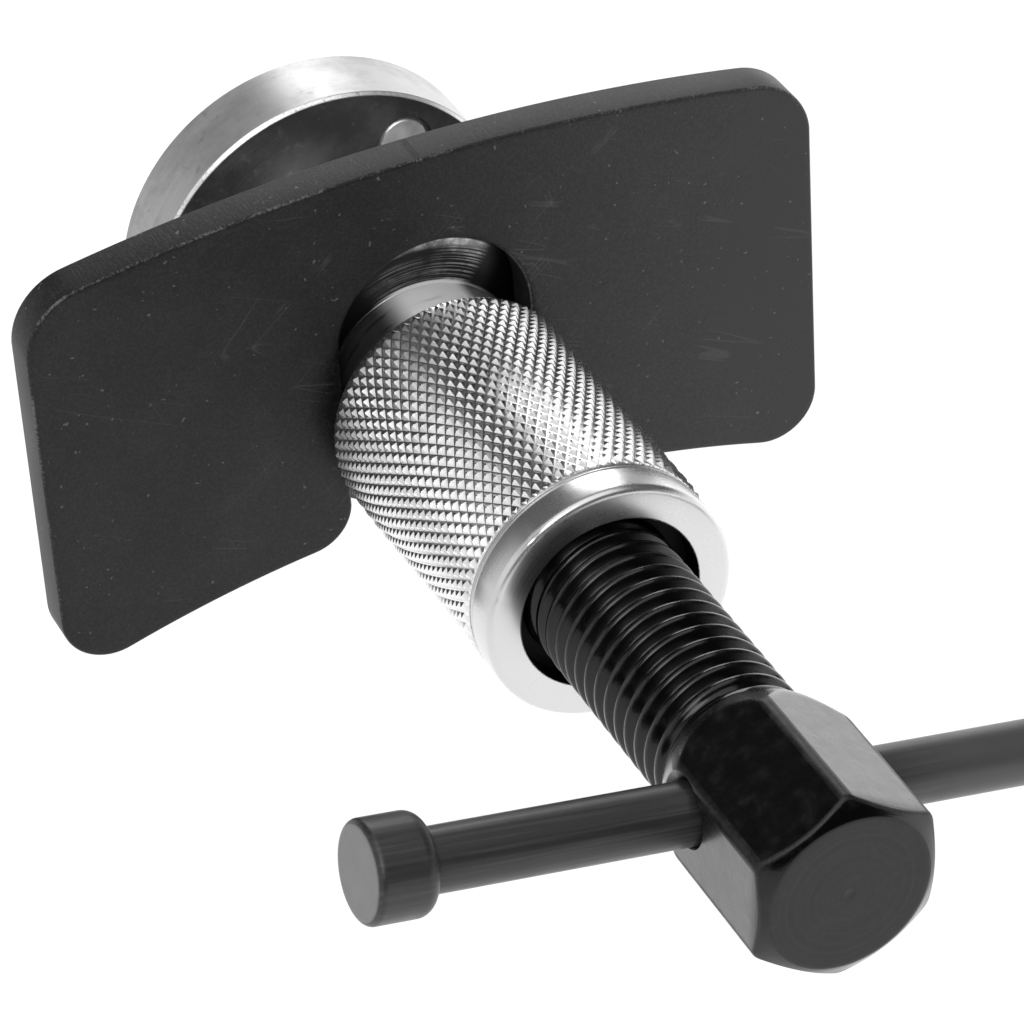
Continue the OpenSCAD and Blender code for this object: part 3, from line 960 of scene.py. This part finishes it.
@dataclass
class Spindle:
    """Screw with a helical thread, a hexagon head with a cross hole, and a plain journal."""

    thread_r: float = 9.525
    pitch: float = 2.54
    depth: float = 1.25
    run_out: float = 3.4
    journal_r: float = 6.5
    thread_front: float = -24.9
    thread_lead: float = 1.6
    hex_af: float = 21.5
    hex_l: float = 25.2
    hex_round: float = 1.5
    hex_turn: float = 7.6
    chamfer_angle: float = 33.0
    front_angle: float = 64.0
    end_r: float = 9.9
    bar_tilt: float = 10.8
    bar_inset: float = 7.0
    hole_r: float = 3.78
    countersink: float = 0.6
    hole_chords: int = 96
    overshoot: float = 2.0
    sharp: float = 36.0
    side_corners: tuple[int, int] = (4, 9)
    edge_angle: float = 4.0

    def angles(self) -> Array:
        """Angles of the columns, close together round the hexagon's corners.

        Returns:
            Angles once round the axis, in radians.
        """
        half = np.concatenate([np.linspace(0.0, 3.6, 5), [4.4], np.linspace(7.0, 30.0, 8)])
        sector = np.concatenate([-half[:0:-1], half])[1:]
        corners = np.arange(6)[:, None] * 60.0 + 30.0
        return np.radians((corners + sector).ravel() - self.bar_tilt + self.hex_turn)

    def off_corner(self, angles: Array) -> Array:
        """Angle of each column from the nearest corner of the hexagon, in degrees."""
        return (np.degrees(angles) + self.bar_tilt - self.hex_turn) % 60.0 - 30.0

    def hex_radius(self, angles: Array) -> Array:
        """Distance of the hexagon's side from the axis at each angle, with an arc at each corner.

        A flat at distance f gives r = f / cos(angle from its middle). Round a corner the arc's centre lies d
        out, and r = d cos(t) + sqrt(c^2 - d^2 sin^2(t)) for the arc's radius c and the angle t off the
        corner, as far as the points where the arc runs into the flats.

        Args:
            angles: Angles of the columns.

        Returns:
            Distance for each angle.
        """
        off_corner = np.radians(self.off_corner(angles))
        flat = self.hex_af / 2 / np.cos(math.pi / 6 - np.abs(off_corner))
        centre = self.hex_af / math.sqrt(3) - self.hex_round / math.cos(math.pi / 6)
        inside = np.maximum(self.hex_round**2 - (centre * np.sin(off_corner)) ** 2, 0.0)
        arc = centre * np.cos(off_corner) + np.sqrt(inside)
        side, lift = self.hex_round * math.sin(math.pi / 6), self.hex_round * math.cos(math.pi / 6)
        return np.where(np.abs(off_corner) < math.atan2(side, centre + lift), arc, flat)

    def head(self, angles: Array, end: float) -> Array:
        """Rings of the head, from its end's centre over both chamfers to the thread.

        Each column has its own profile, whose chamfers start on one circle and climb to the hexagon's side.

        Args:
            angles: Angles of the columns.
            end: Place of the head's end face along the axis.

        Returns:
            Points, rows by columns by 3.
        """
        side = self.hex_radius(angles)
        even = np.ones_like(side)
        slopes = (math.tan(math.radians(angle)) for angle in (self.chamfer_angle, self.front_angle))
        climb, fall = ((side - self.end_r) * slope for slope in slopes)
        front = end + self.hex_l
        radius = np.stack([even * 0, even * 0.2, even * (self.end_r - 1.0), even * self.end_r,
                           side, side, side, side, side,
                           even * self.end_r, even * (self.thread_r + 0.05)])
        along = np.stack([even * end, even * end, even * end, even * end, end + climb, end + climb + 0.8,
                          even * (end + self.hex_l / 2), front - fall - 1.2, front - fall,
                          even * front, even * front])
        cut = np.array([0.0, 0.0, 0.0, 0.4, 0.45, 0.0, 0.0, 0.0, 0.8, 0.15, 0.0])
        return turned(eased(np.stack([radius, along], axis=-1), cut), angles)

    def edges(self, angles: Array, rows: int) -> Array:
        """Marks the head's points that lie on its six corners or where the flats meet the end chamfer.

        Of the corners that the head's profile has, side_corners numbers the one where its flats begin and
        the one after they end.

        Args:
            angles: Angles of the columns.
            rows: Rows of the head, of which each corner of its profile has one more than its chords.

        Returns:
            1 for each such point and 0 for the rest, row by row.
        """
        row = np.arange(rows)[:, None]
        first, last = (corner * (EASE_STEPS + 1) for corner in self.side_corners)
        corner = (row > first) & (row < last) & (np.abs(self.off_corner(angles)) < self.edge_angle)
        chamfer = (row > first) & (row < first + EASE_STEPS)
        return (corner | chamfer).astype(float).ravel()

    def thread(self, angles: Array, front: float) -> tuple[Array, Array, Array]:
        """Right-hand helical thread whose rows follow the helix, cut off square at both ends.

        The profile is a rounded crest, straight flanks and a rounded root, by the phase y / pitch + angle /
        turn. Its depth fades to nothing where the thread runs out at the head.

        Args:
            angles: Angles of the columns.
            front: Place along the axis where the head ends and the thread begins.

        Returns:
            Points of the rows, how near each is to a crest, and the quads between them.
        """
        half = np.array([0.06, 0.12, 0.18, 0.24, 0.36, 0.45])
        fall = np.array([-0.01, -0.06, -0.18, -0.38, -0.84, -1.0])
        at, reach = np.concatenate([-half[::-1], half]), np.concatenate([fall[::-1], fall])
        lap = len(at)
        turns = math.ceil((self.thread_front - front) / self.pitch) + 3
        columns = len(angles)
        share = (angles - angles[0]) / (2 * math.pi)
        q, j = np.meshgrid(np.arange(lap * (turns + 1)), np.arange(columns), indexing="ij")
        climb = q // lap - 0.5 + at[q % lap] - share[j]
        along = np.clip(front + self.pitch * climb, front, self.thread_front)
        phase = (along - front) / self.pitch + share[j] + 0.5
        dip = np.interp(phase, at, reach, period=1.0)
        fade = np.clip((along - front) / self.run_out, 0.0, 1.0) ** 0.7
        taper = np.maximum(along - (self.thread_front - self.thread_lead), 0.0)
        radius = np.minimum(self.thread_r + self.depth * dip * fade, self.thread_r - taper)
        points = np.stack([radius * np.cos(angles)[j], along, radius * np.sin(angles)[j]], axis=-1)
        number = q * columns + j
        east = np.roll(number, -1, axis=1)
        east[lap:, -1] = number[:-lap, 0]
        quads = np.stack([number[:-1], east[:-1], east[1:], number[1:]], axis=-1)[lap:].reshape(-1, 4)
        return points, np.clip(1.0 + dip * 4.0, 0.0, 1.0) * fade, quads

    def bored(self, piece: bpy.types.Object, bar_y: float) -> None:
        """Cuts the countersunk cross hole through the head, in place.

        Args:
            piece: The screw.
            bar_y: Place of the hole along the axis.
        """
        half, flare = self.hex_af / 2 + self.overshoot, self.hole_r + self.countersink + self.overshoot
        rim = self.hex_af / 2 - self.countersink
        corners = np.array([(0.0, -half), (flare, -half), (self.hole_r, -rim), (self.hole_r, rim),
                            (flare, half), (0.0, half)])
        grid = turned(corners[:, None], np.linspace(0.0, 2 * math.pi, self.hole_chords, endpoint=False))
        tilt = math.radians(self.bar_tilt)
        across = np.array([math.cos(tilt), 0.0, -math.sin(tilt)])
        upward = np.array([math.sin(tilt), 0.0, math.cos(tilt)])
        placed = (grid[..., 1:2] * across + grid[..., 0:1] * np.array([0.0, 1.0, 0.0])
                  + grid[..., 2:3] * upward + np.array([0.0, bar_y, 0.0]))
        number = np.arange(placed.shape[0] * placed.shape[1]).reshape(placed.shape[:2])
        walls = split(ring_quads(number[:-1], number[1:]))
        cutter = build_piece("hole_cutter", placed.reshape(-1, 3), walls)
        cut = piece.modifiers.new("cross_hole", "BOOLEAN")
        cut.operation, cut.solver, cut.object = "DIFFERENCE", "EXACT", cutter
        done = bpy.data.meshes.new_from_object(piece.evaluated_get(bpy.context.evaluated_depsgraph_get()))
        piece.modifiers.clear()
        piece.data = done
        done.shade_smooth()
        done.set_sharp_from_angle(angle=math.radians(self.sharp))
        bpy.data.objects.remove(cutter)

    def build(self) -> bpy.types.Object:
        """Joins head, thread and journal into one closed surface, bores the cross hole, and dresses it.

        Returns:
            The finished piece.
        """
        low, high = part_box("spindle")
        end, tip = low.y / MM, high.y / MM
        front = end + self.hex_l
        angles = self.angles()
        head = self.head(angles, end)
        thread, crest, helix = self.thread(angles, front)
        start = self.thread_front
        journal = turned(lathe_profile([
            (self.thread_r - self.thread_lead, start, 0.0), (self.journal_r, start, 0.1),
            (self.journal_r, tip, 0.4), (0.0, tip, 0.0)]), angles)
        columns = len(angles)
        head_number = np.arange(head.shape[0] * columns).reshape(-1, columns)
        journal_number = np.arange(journal.shape[0] * columns).reshape(-1, columns)
        parts = [head.reshape(-1, 3), thread.reshape(-1, 3), journal.reshape(-1, 3)]
        shift = np.cumsum([0] + [len(part) for part in parts])
        triangles = np.concatenate([
            split(ring_quads(head_number[:-1], head_number[1:])),
            split(helix) + shift[1],
            split(ring_quads(journal_number[:-1], journal_number[1:])) + shift[2]])
        marks = np.concatenate([self.edges(angles, len(head)), crest.ravel(), np.zeros(len(parts[2]))])
        piece = build_piece("threaded_spindle", np.concatenate(parts), triangles, {Mark.CREST: marks})
        self.bored(piece, front - self.bar_inset)
        piece.data.materials.append(OiledBlack().material())
        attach(piece, Body.SCREW.value)
        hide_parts("spindle")
        return piece


@dataclass
class PlainPieces:
    """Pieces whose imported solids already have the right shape, and only need their finish."""

    frame: dict[str, Any]

    def dress(self) -> None:
        """Gives each node its material."""
        magnet = TurnedSteel(name="magnet_nickel", pale=(0.62, 0.61, 0.59), dull=(0.45, 0.44, 0.42),
                             roughness=0.22, ring_pitch=1.5)
        finishes = {
            SatinBar().material(): ("tommy_bar", "bar_knob_left", "bar_knob_right"),
            DullZinc().material(): ("adaptor_disc",),
            TurnedSteel().material(): (
                "drive_head", "head_pin", "drive_peg_left", "drive_peg_right", "stop_washer",
                "piston_pin_upper", "piston_pin_lower"),
            magnet.material(): ("magnet",),
        }
        for material, names in finishes.items():
            for name in names:
                mesh = self.frame["nodes"][name].data
                mesh.materials.clear()
                mesh.materials.append(material)
                LOG.info("dressed %s in %s", name, material.name)


@dataclass
class Studio:
    """White table, soft lamps and the camera."""

    camera_place: Place = (-186.73, -506.86, 350.94)
    azimuth: float = -22.81
    elevation: float = 36.45
    roll: float = 3.85
    focal_px: float = 4985.0
    frame_px: float = 1024.0
    sensor: float = 36.0
    aim: Place = (0.0, -0.07, 0.0)
    table_drop: float = 37.0
    table_side: float = 3.0
    shadow_share: float = 0.2
    table_glow: float = 1.15
    front_glow: float = 1.5
    back_glow: float = 1.65
    side_glow: float = 1.0
    glow_rise: tuple[float, float] = (-230.0, -120.0)
    glow_reach: float = 400.0
    paper: Colour = (0.85, 0.85, 0.85)
    horizon: float = 1.4
    ceiling: float = 0.03

    def camera(self) -> None:
        """Places the camera from its azimuth, elevation and roll."""
        data = bpy.data.cameras.new("camera")
        data.sensor_width = self.sensor
        data.lens = self.sensor * self.focal_px / self.frame_px
        data.clip_start, data.clip_end = 0.01, 50.0
        az, el, roll = (math.radians(v) for v in (self.azimuth, self.elevation, self.roll))
        back = Vector((math.sin(az) * math.cos(el), -math.cos(az) * math.cos(el), math.sin(el)))
        right = Vector((0.0, 0.0, 1.0)).cross(back).normalized()
        right = Matrix.Rotation(-roll, 3, back) @ right
        up = back.cross(right)
        turn = Matrix((right, up, back)).transposed().to_4x4()
        camera = bpy.data.objects.new("camera", data)
        camera.matrix_world = Matrix.Translation(Vector(self.camera_place) * MM) @ turn
        bpy.context.scene.collection.objects.link(camera)
        bpy.context.scene.camera = camera

    def table(self, floor_z: float) -> None:
        """White table that stays white to the camera and in reflections, low enough for the bar to turn.

        Args:
            floor_z: Height of the tool's lowest point, in metres.
        """
        corners = np.array([(-1, -1), (1, -1), (1, 1), (-1, 1)]) * self.table_side
        points = np.column_stack([corners, np.full(4, floor_z - self.table_drop * MM)])
        mesh = bpy.data.meshes.new("table")
        mesh.from_pydata(points.tolist(), [], [(0, 1, 2, 3)])
        table = bpy.data.objects.new("table", mesh)
        bpy.context.scene.collection.objects.link(table)
        g = Coat("table_white")
        rays = g.node("ShaderNodeLightPath", {}, {})
        mirrored = (rays[3] + rays[6]).math("MINIMUM", 1.0)
        mirror = self.front_glow + g.y.step(*self.glow_rise) * (self.back_glow - self.front_glow)
        slope = (g.x.step(-self.glow_reach, self.glow_reach) - 0.5) * self.side_glow
        bright = self.table_glow + mirrored * (mirror + slope - self.table_glow)
        paper = g.node("ShaderNodeBsdfDiffuse", {}, {"Color": (*self.paper, 1.0)})[0]
        glow = g.node("ShaderNodeEmission", {}, {"Color": (1.0, 1.0, 1.0, 1.0), "Strength": bright})[0]
        share = rays[0].math("MAXIMUM", mirrored) * (1.0 - self.shadow_share)
        mesh.materials.append(g.surface(g.node("ShaderNodeMixShader", {}, {0: share, 1: paper, 2: glow})[0]))
        table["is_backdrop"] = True

    def world(self) -> None:
        """Room that is white to the camera, and in reflections white low down and at left and dark above."""
        world = bpy.data.worlds.new("studio")
        bpy.context.scene.world = world
        g = Graph(world)
        heading = g.node("ShaderNodeTexCoord", {}, {})[0]
        x, y, z = g.node("ShaderNodeSeparateXYZ", {}, {0: heading})
        camera = g.node("ShaderNodeLightPath", {}, {})[0]
        wall = z.step(0.34, 0.04) * y.step(-0.8, -0.3) * (0.6 + x.step(-0.6, 0.5) * 0.8)
        left = x.step(-0.5, -0.85) * z.step(0.75, 0.45)
        strip = y.step(-0.15, 0.05) * y.step(0.5, 0.35)
        high = strip * x.step(-0.35, -0.6) * z.step(0.95, 0.8) * 0.75
        pale = wall.math("MAXIMUM", left).math("MAXIMUM", high)
        room = self.ceiling + (self.horizon - self.ceiling) * pale
        shade = g.node("ShaderNodeBackground", {}, {"Strength": room.math("MAXIMUM", camera)})[0]
        g.node("ShaderNodeOutputWorld", {}, {"Surface": shade})

    def lamp(self, name: str, place: Place, side: float, power: float) -> None:
        """Adds a square soft lamp that faces the tool.

        Args:
            name: Name of the lamp.
            place: Its place, in metres.
            side: Length of its sides, in metres.
            power: Its power, in watts.
        """
        data = bpy.data.lights.new(name, "AREA")
        data.shape = "RECTANGLE"
        data.energy = power
        data.size = data.size_y = side
        lamp = bpy.data.objects.new(name, data)
        lamp.location = place
        lamp.rotation_euler = (Vector(self.aim) - Vector(place)).to_track_quat("-Z", "Y").to_euler()
        bpy.context.scene.collection.objects.link(lamp)

    def build(self) -> None:
        """Sets up the whole studio."""
        bpy.context.scene.view_settings.view_transform = "Standard"
        self.camera()
        self.table(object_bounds()[0].z)
        self.world()
        self.lamp("overhead", (0.0, -0.45, 1.5), 1.9, 17.0)
        self.lamp("right_box", (1.0, 1.0, 0.32), 0.6, 1.0)
        self.lamp("back_box", (0.52, 1.1, 0.8), 0.6, 5.5)
        self.lamp("left_fill", (-0.5, -1.0, 1.05), 0.7, 6.0)


def main() -> None:
    logging.basicConfig(level=logging.INFO, format="%(name)s: %(message)s")
    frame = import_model()
    Studio().build()
    for assembly in (ThrustNut(), ReactionPlate(), Spindle()):
        piece = assembly.build()
        LOG.info("%s has %d triangles", piece.name, len(piece.data.polygons))
    PlainPieces(frame).dress()


if __name__ == "__main__":
    main()
